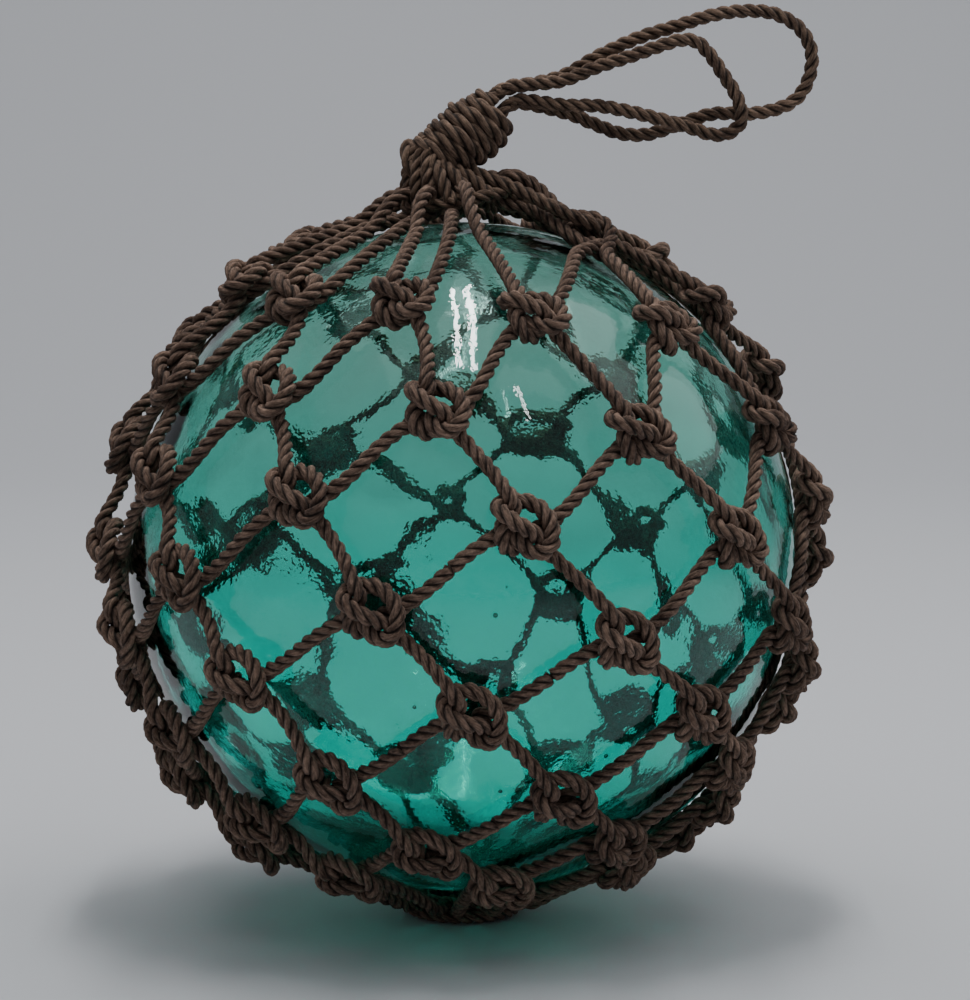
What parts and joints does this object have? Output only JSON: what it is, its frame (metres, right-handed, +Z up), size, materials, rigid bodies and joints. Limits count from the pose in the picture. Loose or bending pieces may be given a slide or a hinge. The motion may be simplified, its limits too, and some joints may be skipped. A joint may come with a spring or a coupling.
{
  "type": "netted glass float",
  "caption": "Sealed glass ball held in a knotted rope net, gathered on top into a bound neck with two stiff hanging loops.",
  "frame": {"origin": "on the floor, at the middle of the flat under the net's foundation ring, straight below the centre of the ball", "axes": "+Z up through the neck, -Y towards the front, +X towards the side the hanging loops lean to"},
  "size_m": [0.3389, 0.3383, 0.415],
  "materials": {
    "glass": "clear blown glass, blue green, with a faintly hammered surface",
    "net_rope": "matt three strand rope, weathered brown grey",
    "cord_rope": "matt three strand rope, weathered brown grey, a little paler on top"
  },
  "bodies": {
    "root": {"glass_ball": "glass", "net": "net_rope", "gather_cord": "cord_rope", "neck_binding": "cord_rope", "hanging_loop_large": "cord_rope", "hanging_loop_small": "cord_rope"}
  },
  "joints": []
}
